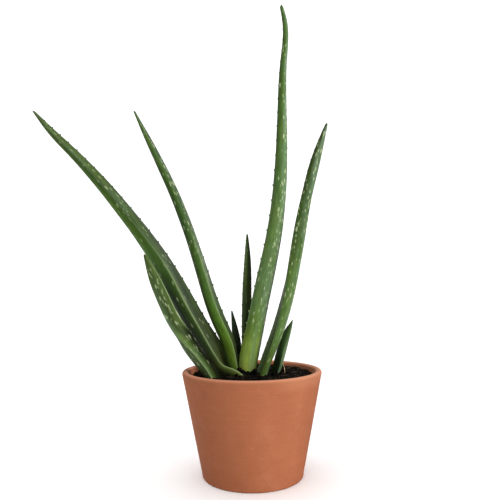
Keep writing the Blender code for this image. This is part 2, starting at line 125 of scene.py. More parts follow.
# Each leaf: pitch of the tooth bands in mm, scale of the teeth, and its curve from base to tip:
# x, y, z, half width and depth of the outer face in mm, and the bearing of the inner face in
# degrees.
LEAVES = {
    "leaf_tall": (6.2, 1.0, [
        (-4.0, 17.0, 76.0, 4.5, 5.0, 90.0),
        (-4.2, 15.0, 93.0, 8.4, 8.4, 90.0),
        (1.4, 13.0, 123.0, 9.0, 9.5, 92.0),
        (11.2, 9.0, 169.0, 8.6, 8.6, 94.0),
        (23.7, 4.0, 227.0, 7.6, 7.6, 96.0),
        (30.0, 0.0, 285.0, 6.3, 6.4, 98.0),
        (32.0, -4.0, 343.0, 4.7, 5.2, 103.0),
        (34.0, -7.0, 390.0, 3.4, 4.0, 107.0),
        (36.2, -8.0, 414.0, 2.9, 3.3, 107.0),
        (35.3, -9.0, 431.0, 2.5, 2.8, 107.0),
        (32.8, -9.0, 443.0, 1.8, 2.0, 107.0),
    ]),
    "leaf_long_left": (6.0, 1.0, [
        (-13.0, 15.0, 72.0, 12.0, 8.0, 50.0),
        (-16.5, 13.0, 84.0, 15.0, 11.0, 50.0),
        (-19.5, 12.0, 92.0, 15.5, 12.5, 25.0),
        (-23.5, 12.0, 99.0, 13.5, 14.5, -4.0),
        (-29.3, 12.0, 109.0, 12.0, 16.5, -18.0),
        (-43.0, 11.0, 132.0, 11.6, 17.5, -16.0),
        (-58.4, 10.0, 159.0, 11.5, 18.3, -15.0),
        (-80.2, 7.0, 198.0, 10.5, 16.0, -10.0),
        (-108.6, 3.0, 236.5, 9.4, 12.6, -12.0),
        (-139.8, 0.0, 274.0, 7.8, 9.8, -13.0),
        (-167.4, -3.0, 303.0, 6.0, 7.2, -15.0),
        (-189.0, -6.0, 324.3, 4.3, 5.4, -15.0),
        (-206.0, -8.0, 342.5, 1.4, 1.6, -15.0),
    ]),
    "leaf_short_left": (5.6, 0.6, [
        (-15.5, 4.0, 52.0, 5.5, 6.0, -10.0),
        (-27.0, -7.0, 78.0, 7.0, 9.0, -18.0),
        (-36.2, -14.0, 97.0, 7.3, 10.4, -18.0),
        (-48.8, -15.0, 113.5, 7.2, 10.8, -17.0),
        (-58.4, -16.0, 126.0, 7.2, 10.6, -34.0),
        (-67.2, -17.0, 137.0, 6.6, 7.3, -65.0),
        (-78.2, -18.0, 158.0, 6.1, 6.8, -74.0),
        (-87.3, -20.0, 179.0, 5.2, 5.5, -75.0),
        (-96.2, -23.0, 201.5, 1.3, 1.5, -75.0),
    ]),
    "leaf_mid_left": (6.2, 1.0, [
        (-9.0, 16.5, 77.0, 5.5, 6.0, 0.0),
        (-12.8, 16.0, 94.0, 7.5, 10.0, -2.0),
        (-16.0, 16.0, 115.0, 8.2, 12.4, -6.0),
        (-26.4, 16.0, 141.0, 8.5, 12.8, -8.0),
        (-46.8, 14.0, 199.0, 8.0, 10.6, -8.0),
        (-69.2, 12.0, 259.0, 6.4, 8.1, -8.0),
        (-98.3, 10.0, 319.0, 4.2, 4.9, -8.0),
        (-113.4, 10.0, 347.6, 1.3, 1.5, -8.0),
    ]),
    "leaf_long_right": (6.0, 0.9, [
        (6.5, 6.0, 66.0, 5.0, 6.0, 185.0),
        (4.5, 1.0, 84.0, 6.5, 8.5, 188.0),
        (8.2, -1.0, 98.0, 7.0, 8.8, 192.0),
        (20.2, -2.0, 130.5, 7.0, 10.4, 192.0),
        (31.8, -4.0, 173.6, 6.8, 11.3, 180.0),
        (44.8, -6.0, 230.3, 6.8, 9.6, 155.0),
        (52.4, -7.0, 259.0, 5.8, 7.6, 142.0),
        (61.0, -8.0, 287.7, 5.2, 6.4, 125.0),
        (73.7, -9.0, 326.0, 1.3, 1.5, 110.0),
    ]),
    "leaf_small_right": (3.6, 0.8, [
        (13.0, 13.0, 70.0, 2.8, 3.0, 185.0),
        (21.8, 10.0, 92.0, 5.0, 5.4, 212.0),
        (28.6, 9.0, 116.0, 5.0, 6.8, 215.0),
        (35.4, 9.0, 132.0, 3.2, 3.8, 215.0),
        (39.2, 9.0, 139.5, 0.9, 1.0, 193.0),
    ]),
    "leaf_inner_back": (4.6, 0.9, [
        (-2.0, 29.5, 78.0, 4.0, 3.0, -85.0),
        (-3.8, 32.0, 94.0, 4.9, 4.0, -85.0),
        (-4.6, 33.5, 125.0, 5.3, 4.2, -85.0),
        (-4.0, 31.0, 169.0, 4.7, 4.0, -85.0),
        (-3.1, 30.0, 200.0, 3.4, 3.0, -85.0),
        (-3.2, 30.0, 225.0, 1.0, 1.0, -85.0),
    ]),
    "leaf_bud_back": (4.0, 0.8, [
        (-11.0, 26.0, 78.0, 2.6, 2.4, -70.0),
        (-12.2, 26.6, 92.0, 4.2, 3.6, -70.0),
        (-13.8, 27.6, 109.0, 4.8, 3.8, -70.0),
        (-16.4, 28.6, 130.0, 3.4, 3.0, -70.0),
        (-19.3, 29.0, 147.8, 0.9, 1.0, -70.0),
    ]),
}


def even(value):
    """Stops that give one value everywhere."""
    return {0.0: value, 1.0: value}


# Looks of the leaves. Stops are a place and its value; colours are sRGB.
# A face has colours from base to tip and, from margin 0 to margin 1, tints of them near the base
# (low) and near the tip (high), which add painted shade and painted light to the leaf's own colour,
# a pale waxy bloom that is partly painted sheen, and how many spots there are.
# A leaf has the places where the low tints change to the high ones, how strong its spots are, how
# many there are from base to tip (spotted) and, for margin 1 and then margin 0, how high the teeth
# and how plain the pale line, a painted highlight on the margin, are from base to tip.
LOOKS = {
    "leaf_tall": {
        "change": (0.22, 0.6),
        "outer": {
            "colours": {0.05: (160, 182, 78), 0.1: (132, 160, 66), 0.17: (98, 130, 56),
                        0.26: (94, 122, 68), 0.42: (92, 122, 60), 0.62: (82, 114, 48),
                        0.85: (74, 104, 38), 1.0: (76, 106, 42)},
            # Painted shade on margin 0's flank and on both edges near the tip; painted sheen near
            # 0.28.
            "low": {0.0: 0.18, 0.09: 0.38, 0.18: 1.0, 0.28: 1.5, 0.38: 1.25, 0.5: 1.08, 0.75: 1.1,
                    1.0: 1.3},
            "high": {0.0: 0.62, 0.1: 0.9, 0.2: 1.16, 0.4: 1.02, 0.6: 0.96, 0.75: 0.84, 1.0: 0.62},
            "bloom_and_sheen": {0.0: 0.0, 0.14: 0.04, 0.24: 0.4, 0.36: 0.36, 0.55: 0.06, 1.0: 0.0},
            "spots": {0.0: 0.3, 0.12: 0.7, 0.22: 1.0, 0.36: 0.8, 0.5: 0.55, 0.58: 0.1, 1.0: 0.05},
        },
        "inner": {
            "colours": {0.05: (96, 112, 44), 0.3: (76, 102, 42), 1.0: (72, 98, 40)},
            "low": even(0.9), "high": even(0.9), "bloom_and_sheen": even(0.1), "spots": even(0.3),
        },
        "spots": 0.8, "spotted": {0.1: 0.0, 0.2: 0.8, 0.36: 1.0, 0.85: 1.0, 1.0: 0.5},
        "teeth": ({0.5: 1.1, 0.62: 0.4}, {0.5: 0.3, 0.7: 0.8}), "tooth": (232, 236, 176),
        "line": ({0.3: 0.5, 0.6: 0.2}, even(0.0)),
    },
    "leaf_long_left": {
        "change": (0.32, 0.52),
        "outer": {
            "colours": {0.08: (104, 120, 50), 0.18: (68, 96, 40), 0.34: (74, 110, 40),
                        0.6: (70, 102, 34), 0.85: (70, 96, 36), 1.0: (78, 98, 46)},
            # Painted shadow: the low tints take the outer face near black where it lies behind the
            # short leaf.
            "low": {0.0: 0.95, 0.05: 0.68, 0.11: 0.46, 0.18: 0.2, 0.34: 0.1, 0.5: 0.08, 1.0: 0.3},
            "high": {0.0: 0.82, 0.08: 0.98, 0.14: 1.2, 0.22: 1.4, 0.36: 1.5, 0.5: 1.45, 1.0: 0.9},
            "bloom_and_sheen": {0.0: 0.1, 0.08: 0.0, 0.26: 0.04, 0.4: 0.26, 1.0: 0.1},
            "spots": {0.0: 0.5, 0.06: 0.1, 0.2: 0.0, 0.28: 0.6, 0.4: 0.7, 1.0: 0.3},
        },
        "inner": {
            "colours": {0.08: (100, 114, 56), 0.18: (90, 106, 66), 0.3: (76, 94, 56),
                        0.44: (60, 80, 42), 0.65: (66, 88, 38), 0.85: (74, 96, 38),
                        1.0: (74, 94, 38)},
            "low": {0.14: 1.4, 0.28: 0.98, 0.42: 0.62, 0.6: 0.48, 0.75: 0.6, 0.9: 1.0, 1.0: 0.8},
            "high": {0.0: 0.56, 0.07: 0.72, 0.13: 1.14, 0.24: 1.08, 0.4: 0.86, 0.7: 0.72, 1.0: 0.6},
            "bloom_and_sheen": {0.0: 0.16, 0.2: 0.1, 0.5: 0.02, 1.0: 0.0},
            "spots": {0.0: 0.3, 0.2: 0.45, 0.4: 0.25, 1.0: 0.05},
        },
        "spots": 0.55, "spotted": {0.08: 0.0, 0.2: 0.3, 0.4: 0.7, 0.6: 1.0, 1.0: 0.6},
        "teeth": (even(1.0), {0.5: 0.1, 0.85: 0.2}), "tooth": (74, 66, 48),
        "line": (even(0.0), {0.08: 0.6, 0.16: 0.85, 0.34: 0.6, 0.5: 0.16, 0.6: 0.0}),
    },
    "leaf_short_left": {
        "change": (0.53, 0.62),
        "outer": {
            "colours": {0.2: (72, 94, 38), 0.5: (82, 104, 52), 1.0: (84, 106, 56)},
            "low": {0.0: 1.15, 0.1: 0.9, 0.3: 0.86, 0.5: 0.5, 1.0: 0.34},
            "high": {0.0: 1.0, 1.0: 0.9},
            "bloom_and_sheen": {0.0: 0.1, 0.3: 0.12, 1.0: 0.1}, "spots": {0.0: 0.4, 1.0: 0.8},
        },
        "inner": {
            "colours": {0.2: (84, 108, 44), 0.4: (80, 104, 44), 0.7: (74, 98, 40),
                        1.0: (76, 100, 40)},
            # Painted shade: the low tints take the inner face near black towards margin 1, in the
            # groove at the base.
            "low": {0.0: 0.95, 0.2: 1.2, 0.32: 0.8, 0.5: 0.45, 0.62: 0.36, 0.72: 0.16, 0.8: 0.09,
                    1.0: 0.08},
            "high": {0.0: 0.85, 0.1: 0.82, 0.25: 0.6, 0.42: 0.58, 0.55: 0.78, 0.75: 0.8, 0.92: 0.9,
                     1.0: 1.5},
            "bloom_and_sheen": {0.0: 0.3, 0.2: 0.1, 0.5: 0.02, 0.7: 0.0},
            "spots": {0.0: 0.6, 0.2: 0.5, 0.45: 0.7, 0.6: 0.9, 0.72: 0.5, 0.82: 0.1},
        },
        "spots": 0.55, "spotted": {0.1: 0.1, 0.36: 0.9, 0.55: 1.0},
        "teeth": (even(0.3), even(0.3)), "tooth": (120, 118, 80),
        "line": ({0.52: 0.0, 0.62: 0.9}, {0.3: 0.5, 0.6: 0.1}),
    },
    "leaf_mid_left": {
        "change": (0.25, 0.6),
        "outer": {
            "colours": {0.04: (84, 108, 36), 0.12: (98, 128, 40), 0.2: (96, 134, 42),
                        0.4: (84, 118, 50), 0.6: (68, 100, 40), 0.72: (70, 100, 38),
                        0.88: (86, 116, 50), 1.0: (84, 110, 50)},
            "low": {0.0: 1.15, 0.08: 1.05, 0.2: 0.88, 0.32: 0.5, 0.44: 0.34, 1.0: 0.5},
            "high": {0.0: 1.1, 0.12: 0.95, 0.25: 0.76, 0.45: 0.66, 1.0: 0.8},
            "bloom_and_sheen": {0.0: 0.1, 0.14: 0.0, 0.4: 0.1},
            "spots": {0.0: 0.5, 0.12: 0.2, 0.3: 0.15, 1.0: 0.1},
        },
        "inner": {
            "colours": {0.08: (104, 128, 46), 0.25: (96, 124, 56), 0.46: (92, 116, 68),
                        0.62: (62, 86, 40), 0.88: (58, 80, 34), 1.0: (58, 80, 32)},
            "low": {0.0: 1.15, 0.2: 0.95, 0.45: 0.55, 0.7: 0.38, 1.0: 0.34},
            "high": {0.0: 1.1, 0.1: 0.9, 0.2: 0.72, 0.7: 0.66, 1.0: 0.6},
            "bloom_and_sheen": {0.0: 0.16, 0.4: 0.12, 1.0: 0.02}, "spots": {0.0: 1.0, 0.4: 0.8, 1.0: 0.2},
        },
        "spots": 0.65, "spotted": {0.2: 0.0, 0.35: 0.2, 0.5: 0.9, 1.0: 0.8},
        "teeth": ({0.4: 1.0, 0.7: 0.4}, even(0.1)), "tooth": (84, 70, 48),
        "line": (even(0.0), {0.3: 0.4, 0.5: 0.1, 0.6: 0.0}),
    },
    "leaf_long_right": {
        "change": (0.3, 0.65),
        "outer": {
            "colours": {0.12: (78, 104, 40), 0.22: (94, 124, 58), 0.45: (92, 124, 54),
                        0.62: (84, 114, 47), 0.85: (76, 101, 43), 1.0: (68, 80, 42)},
            "low": {0.0: 0.5, 0.5: 1.0, 0.58: 1.16, 0.7: 0.9, 0.82: 1.1, 0.9: 0.86, 1.0: 0.55},
            "high": {0.0: 0.8, 0.3: 1.0, 0.5: 0.8, 0.6: 0.9, 0.7: 0.6, 0.8: 0.64, 0.9: 0.52,
                     1.0: 0.5},
            "bloom_and_sheen": {0.0: 0.1, 0.45: 0.28, 0.6: 0.36, 0.72: 0.18, 0.85: 0.04, 1.0: 0.0},
            "spots": {0.0: 0.4, 0.45: 0.7, 0.6: 1.0, 0.7: 0.7, 0.76: 0.25, 0.85: 0.8, 1.0: 0.3},
        },
        "inner": {
            "colours": {0.12: (74, 92, 46), 0.25: (98, 108, 72), 0.5: (64, 82, 42),
                        1.0: (70, 86, 44)},
            "low": {0.0: 1.1, 0.35: 0.9, 0.5: 0.5, 1.0: 0.36},
            "high": {0.0: 0.9, 0.5: 0.7, 1.0: 0.8},
            "bloom_and_sheen": {0.0: 0.3, 0.4: 0.1, 1.0: 0.0}, "spots": {0.0: 0.0, 1.0: 0.2},
        },
        "spots": 0.72, "spotted": {0.0: 0.5, 0.2: 1.0},
        "teeth": (even(0.3), even(0.3)), "tooth": (150, 150, 110), "line": (even(0.0), even(0.2)),
    },
    "leaf_small_right": {
        "change": (0.3, 0.8),
        "outer": {
            "colours": {0.15: (74, 100, 56), 0.5: (96, 124, 80), 1.0: (60, 82, 36)},
            "low": {0.0: 0.6, 0.5: 1.25, 0.8: 1.1, 1.0: 0.8},
            "high": {0.0: 0.6, 0.5: 1.2, 0.9: 1.2, 1.0: 0.9},
            "bloom_and_sheen": {0.0: 0.1, 0.5: 0.5, 0.8: 0.4, 1.0: 0.1}, "spots": even(0.1),
        },
        "inner": {
            # Painted shade: dark colours for the inner face, which lies in shadow.
            "colours": {0.15: (32, 46, 22), 0.6: (46, 70, 26), 1.0: (54, 78, 30)},
            "low": {0.0: 1.1, 0.6: 0.9, 1.0: 1.4},
            "high": {0.0: 1.3, 0.4: 1.4, 0.6: 1.15, 0.8: 1.3, 1.0: 1.7},
            "bloom_and_sheen": {0.0: 0.0, 1.0: 0.05}, "spots": even(0.0),
        },
        "spots": 0.3, "spotted": {0.0: 0.5, 1.0: 1.0},
        "teeth": (even(0.3), even(0.3)), "tooth": (110, 120, 84), "line": (even(0.1), even(0.0)),
    },
    "leaf_inner_back": {
        "change": (0.3, 0.8),
        "outer": {
            "colours": {0.1: (40, 52, 22), 1.0: (62, 80, 36)},
            "low": even(0.9), "high": even(0.9), "bloom_and_sheen": even(0.1), "spots": even(0.1),
        },
        "inner": {
            "colours": {0.1: (66, 86, 38), 0.6: (84, 104, 52), 1.0: (86, 106, 54)},
            # Painted shadow: the tints darken the inner face towards margin 1, in the tall leaf's
            # shadow.
            "low": {0.0: 0.8, 0.14: 0.75, 0.24: 0.52, 0.34: 0.4, 0.45: 0.28, 0.6: 0.22, 1.0: 0.18},
            "high": {0.0: 0.7, 0.2: 1.0, 0.34: 1.05, 0.44: 0.6, 0.6: 0.32, 1.0: 0.2},
            "bloom_and_sheen": {0.0: 0.1, 0.5: 0.0}, "spots": {0.4: 0.3, 0.5: 0.0},
        },
        "spots": 0.3, "spotted": {0.0: 0.5, 1.0: 1.0},
        "teeth": (even(0.2), even(0.6)), "tooth": (90, 88, 64), "line": (even(0.0), even(0.1)),
    },
    "leaf_bud_back": {
        # Painted shade: near-black colours on both faces, for this small leaf at the back of the
        # crown.
        "change": (0.3, 0.8),
        "outer": {
            "colours": {0.1: (28, 38, 18), 1.0: (42, 56, 28)},
            "low": even(0.8), "high": even(0.8), "bloom_and_sheen": even(0.0), "spots": even(0.0),
        },
        "inner": {
            "colours": {0.1: (24, 36, 16), 0.6: (30, 44, 20), 1.0: (42, 60, 30)},
            "low": {0.0: 1.1, 0.4: 0.6, 1.0: 0.3}, "high": {0.0: 1.1, 0.4: 0.7, 1.0: 0.4},
            "bloom_and_sheen": {0.0: 0.05, 1.0: 0.0}, "spots": even(0.0),
        },
        "spots": 0.0, "spotted": {0.0: 0.5, 1.0: 1.0},
        "teeth": (even(0.3), even(0.3)), "tooth": (60, 64, 44), "line": (even(0.0), even(0.0)),
    },
}
LEAF_DIM = 0.46                     # the light on a leaf adds up to more than one
SPOT_COLOUR = (190, 204, 156)
# Pale line along the margins: a painted highlight
MARGIN_HIGHLIGHT_COLOUR = (172, 192, 132)
# Pale waxy bloom, which also stands for painted sheen
BLOOM_AND_SHEEN_COLOUR = (132, 158, 130)
LEAF_SPECULAR = 0.05

# Noises that vary a leaf's colour: stretch across, along and through, detail, roughness, and the
# tints at their two ends
LEAF_NOISES = {
    "hues": ((120.0, 34.0, 9.0), 2.0, 0.5, (1.06, 1.0, 0.84, 1.0), (0.94, 1.0, 1.12, 1.0)),
    "blotches": ((260.0, 90.0, 5.0), 3.0, 0.6, 0.84, 1.14),
    "streaks": ((620.0, 24.0, 7.0), 2.0, 0.5, 0.91, 1.09),
    "grain": ((2300.0, 70.0, 5.0), 2.0, 0.5, 0.93, 1.07),
}
BLOOM_AND_SHEEN_STRETCH = (210.0, 30.0, 2.0)
PORES = 2600.0

# Spots: cells a metre across and along the leaf, and a spot's radius in cells
SPOT_CELLS = ((300.0, 118.0, 0.36), (470.0, 170.0, 0.36))
SPOT_DEPTH = 3.0
SPOT_SOFTNESS = 0.55
SPOT_WOBBLE = (0.0012, 0.0024, 0.0)
SPOT_WOBBLE_SCALE = 520.0


def linear(colour, gain=1.0):
    """A linear RGBA colour from 8-bit sRGB values."""
    values = []
    for value in colour:
        share = value / 255.0
        low = share / 12.92
        high = ((share + 0.055) / 1.055) ** 2.4
        values.append(gain * (low if share <= 0.04045 else high))
    return (*values, 1.0)


def dimmed(colours, gain):
    """A ramp's stops, with their sRGB colours made linear and dimmed."""
    return {place: linear(colour, gain) for place, colour in colours.items()}


class Look:
    """One material and the nodes that feed its Principled shader."""

    def __init__(self, name):
        self.material = bpy.data.materials.new(name)
        self.material.use_nodes = True
        self.tree = self.material.node_tree
        self.shader = self.tree.nodes["Principled BSDF"]

    def put(self, socket, value):
        """Link a socket's value, or set it."""
        if isinstance(value, bpy.types.NodeSocket):
            self.tree.links.new(value, socket)
        else:
            socket.default_value = value

    def add(self, kind, settings=None, inputs=None):
        """A new node, with its settings and the values or links of its inputs."""
        made = self.tree.nodes.new("ShaderNode" + kind)
        for key, value in (settings or {}).items():
            setattr(made, key, value)
        for key, value in (inputs or {}).items():
            self.put(made.inputs[key], value)
        return made

    def attribute(self, name, output="Fac"):
        return self.add("Attribute", {"attribute_name": name}).outputs[output]

    def position(self):
        return self.add("TexCoord").outputs["Object"]

    def math(self, operation, first, second):
        return self.add("Math", {"operation": operation}, {0: first, 1: second}).outputs[0]

    def mix(self, factor, first, second, blend="MIX"):
        inputs = {"Fac": factor, "Color1": first, "Color2": second}
        return self.add("MixRGB", {"blend_type": blend}, inputs).outputs[0]

    def ramp(self, factor, stops, smooth=True):
        """A colour ramp, whose stops' values are grey levels or RGBA colours."""
        made = self.add("ValToRGB", None, {"Fac": factor})
        made.color_ramp.interpolation = "EASE" if smooth else "LINEAR"
        elements = made.color_ramp.elements
        while len(elements) < len(stops):
            elements.new(0.5)
        for element, (place, value) in zip(elements, stops.items()):
            element.position = place
            element.color = value if isinstance(value, tuple) else (value, value, value, 1.0)
        return made.outputs[0]

    def stretch(self, vector, factors):
        inputs = {0: vector, 1: factors}
        return self.add("VectorMath", {"operation": "MULTIPLY"}, inputs).outputs[0]

    def noise(self, vector, scale, detail=2.0, roughness=0.5, output="Fac"):
        inputs = {"Vector": vector, "Scale": scale, "Detail": detail, "Roughness": roughness}
        return self.add("TexNoise", None, inputs).outputs[output]

    def step(self, value, low, high, to_low=0.0, to_high=1.0):
        """A smooth step of a value between two limits."""
        inputs = {"Value": value, "From Min": low, "From Max": high,
                  "To Min": to_low, "To Max": to_high}
        return self.add("MapRange", {"interpolation_type": "SMOOTHSTEP"}, inputs).outputs[0]

    def spread(self, noise_value, low, high):
        """A value that a noise takes smoothly from low to high."""
        return self.step(noise_value, 0.3, 0.7, low, high)

    def tinted(self, colour, value, stops):
        """A colour times what a value reads on a ramp."""
        return self.mix(1.0, colour, self.ramp(value, stops), "MULTIPLY")

    def varied(self, colour, noise_value, low, high):
        """A colour made darker or lighter by a noise."""
        return self.tinted(colour, noise_value, {0.32: low, 0.68: high})

    def bump(self, height, distance, normal=None):
        inputs = {"Height": height, "Distance": distance, "Strength": 1.0}
        if normal:
            inputs["Normal"] = normal
        return self.add("Bump", None, inputs).outputs[0]

    def finish(self, colour, roughness, normal, specular):
        self.put(self.shader.inputs["Base Color"], colour)
        self.put(self.shader.inputs["Roughness"], roughness)
        self.put(self.shader.inputs["Normal"], normal)
        self.shader.inputs["Specular IOR Level"].default_value = specular
        return self.material


# Meshes and objects

def new_object(name, data):
    """An object with its data, in the scene."""
    made = bpy.data.objects.new(name, data)
    bpy.context.scene.collection.objects.link(made)
    return made


def mesh_object(name, builder, material):
    """Turn a bmesh into an object with one material."""
    mesh = bpy.data.meshes.new(name)
    builder.to_mesh(mesh)
    builder.free()
    mesh.materials.append(material)
    return new_object(name, mesh)


def add_piece(name, builder, material, node=None):
    """Turn a bmesh into a smooth piece that rides on the root."""
    bmesh.ops.recalc_face_normals(builder, faces=builder.faces)
    piece = mesh_object(name, builder, material)
    piece.data.shade_smooth()
    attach(piece, "root")
    if node:
        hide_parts(node)


def angles(sides):
    """Evenly spaced angles of a full turn."""
    return [math.tau * side / sides for side in range(sides)]


def polar(radius, angle):
    return radius * math.cos(angle), radius * math.sin(angle)


def join_rings(builder, rings):
    """Quads between rings of as many points each."""
    for low, high in zip(rings, rings[1:]):
        for k in range(len(low)):
            after = (k + 1) % len(low)
            builder.faces.new((low[k], low[after], high[after], high[k]))


# Leaves

def smooth_curve(points):
    """Chord lengths of the points, and the second derivatives of a natural cubic through them."""
    spans = np.linalg.norm(np.diff(points[:, :3], axis=0), axis=1)
    lengths = np.concatenate(([0.0], np.cumsum(spans)))
    slopes = np.diff(points, axis=0) / spans[:, None]
    system = np.eye(len(points))
    bends = np.zeros_like(points)
    for k in range(1, len(points) - 1):
        below, above = spans[k - 1], spans[k]
        system[k, k - 1:k + 2] = below, 2.0 * (below + above), above
        bends[k] = 6.0 * (slopes[k] - slopes[k - 1])
    return lengths, np.linalg.solve(system, bends)


def read_curve(points, lengths, bends, places):
    """Points of the cubic at chord lengths."""
    k = np.clip(np.searchsorted(lengths, places) - 1, 0, len(lengths) - 2)
    span = (lengths[k + 1] - lengths[k])[:, None]
    after = (places - lengths[k])[:, None] / span
    before = 1.0 - after
    bow = (before ** 3 - before) * bends[k] + (after ** 3 - after) * bends[k + 1]
    return before * points[k] + after * points[k + 1] + bow * span ** 2 / 6.0


def unit(vectors):
    return vectors / np.linalg.norm(vectors, axis=1)[:, None]


class Spine:
    """A leaf's curve read at many places: centres, half widths, depths and axes; and its tip.

    The axes point to margin 1, out of the inner face and up the leaf.
    """

    def __init__(self, curve):
        points = np.array(curve)
        points[:, :5] *= MM
        lengths, bends = smooth_curve(points)
        self.length = lengths[-1]
        places = np.linspace(0.0, self.length, round(self.length / RING_PITCH) + 1)
        here = read_curve(points, lengths, bends, places)
        ahead = read_curve(points, lengths, bends, np.minimum(places + TANGENT_STEP, self.length))
        behind = read_curve(points, lengths, bends, np.maximum(places - TANGENT_STEP, 0.0))
        self.places = places
        self.share = places / self.length
        self.centre = here[:, :3]
        self.half_width = here[:, 3]
        self.depth = here[:, 4]
        forward = unit(ahead[:, :3] - behind[:, :3])
        bearing = np.radians(here[:, 5])
        facing = np.stack([np.cos(bearing), np.sin(bearing), np.zeros(len(places))], axis=1)
        facing = unit(facing - forward * np.sum(facing * forward, axis=1)[:, None])
        self.axes = (np.cross(forward, facing), facing, forward)
        onward = unit((self.centre[-1] - self.centre[-2])[None, :])[0]
        middle = self.centre[-1] - facing[-1] * self.depth[-1] / 2.0
        self.apex = middle + onward * self.half_width[-1] * TIP_LENGTH


def channel_depth(half_width, share):
    """Depth of the inner face's channel, which gives way to a bulge near the tip."""
    upward = np.minimum(1.0, share / CHANNEL_END)
    ease = upward * upward * (3.0 - 2.0 * upward)
    return half_width * (CHANNEL_RATIO + (TIP_CROWNING - CHANNEL_RATIO) * ease)


def leaf_swell(places, lateral, seed):
    """Slight swellings of the flesh, as a factor of one at most."""
    slow = np.sin(places / SLOW_SWELL + seed) * np.cos(lateral * 2.0 + seed * 1.7)
    quick = np.sin(places / QUICK_SWELL + lateral * 2.6 + seed * 2.3)
    return SWELL_MEAN + SLOW_SHARE * slow + QUICK_SHARE * quick


def crowded(count, crowding):
    """Shares from 0 to 1 in equal steps, then moved towards both ends."""
    share = np.linspace(0.0, 1.0, count + 1)
    return share - crowding * np.sin(math.tau * share) / math.tau


def leaf_sections(spine, seed):
    """The rings, each in its own plane, and their points' places on the leaf.

    A place is the share from margin 0 to margin 1, and the face: 0 outer, 1 inner, 0.5 a margin.
    """
    turn = math.pi * crowded(OUTER_STEPS, MARGIN_CROWDING)
    outer = np.cos(turn)
    inner = -np.cos(math.pi * np.arange(1, INNER_STEPS) / INNER_STEPS)
    lateral = np.concatenate([outer, inner])
    sideways = spine.half_width[:, None] * lateral
    crown = -spine.depth[:, None] * np.sin(turn)
    channel = -channel_depth(spine.half_width, spine.share)[:, None] * (1.0 - inner ** 2)
    inward = np.concatenate([crown, channel], axis=1)
    swell = leaf_swell(spine.places[:, None], lateral, seed)
    flat = np.stack([sideways * swell, inward * swell], axis=2)
    for _ in range(MARGIN_EASINGS):
        flat = (np.roll(flat, 1, axis=1) + 2.0 * flat + np.roll(flat, -1, axis=1)) / 4.0
    round_face = 1.0 - np.arccos(np.clip(outer, -1.0, 1.0)) / math.pi
    from_margin = np.concatenate([round_face, (inner + 1.0) / 2.0])
    face = np.concatenate([np.zeros(OUTER_STEPS + 1), np.ones(INNER_STEPS - 1)])
    face[0] = face[OUTER_STEPS] = 0.5
    return flat, from_margin, face


def girth_places(flat):
    """How far round the leaf each point lies from the middle of its own face."""
    gaps = np.linalg.norm(flat - np.roll(flat, 1, axis=1), axis=2)
    travelled = np.cumsum(gaps, axis=1)
    on_outer = np.arange(flat.shape[1]) <= OUTER_STEPS
    return travelled - np.where(on_outer, travelled[:, [OUTER_STEPS // 2]],
                                travelled[:, [OUTER_STEPS + INNER_STEPS // 2]])


def tooth_profile(places, centre, size):
    """Height of a tooth along the margin, from 0 to 1: a long slope up and a short one down."""
    apart = (places - centre) / (TOOTH_HALF_BASE * size)
    rise = np.clip((apart + 1.0) / (1.0 + TOOTH_POINT), 0.0, 1.0) ** TOOTH_RISE
    fall = np.clip((1.0 - apart) / (1.0 - TOOTH_POINT), 0.0, 1.0) ** TOOTH_FALL
    return np.where(apart < TOOTH_POINT, rise, fall)


def teeth(spine, pitch, scale):
    """For margin 1 and margin 0, the height and the size of the teeth at every ring.

    The leaf is cut into bands, closer together at its base and at its tip, and each band has one
    tooth, on one margin and the other in turn.
    """
    edges = spine.length * crowded(round(spine.length / (pitch * MM)), BAND_CROWDING)
    low_z = np.interp(edges, spine.places, spine.centre[:, 2])
    widths = np.interp(edges, spine.places, spine.half_width)
    heights = np.zeros((2, len(spine.places)))
    sizes = np.ones((2, len(spine.places)))
    for band in range(len(edges) - 1):
        if low_z[band] < TOOTHLESS_BELOW or spine.length - edges[band] < TOOTHLESS_TIP:
            continue
        side = (band + 1) % 2
        size = scale * min(1.0, TOOTH_LEAST + widths[band] / TOOTH_FULL_WIDTH)
        profile = tooth_profile(spine.places, (edges[band] + edges[band + 1]) / 2.0, size)
        sizes[side] = np.where(profile > heights[side], size, sizes[side])
        heights[side] = np.maximum(heights[side], profile)
    return heights, sizes


def read_stops(stops, places):
    return np.interp(places, list(stops), list(stops.values()))


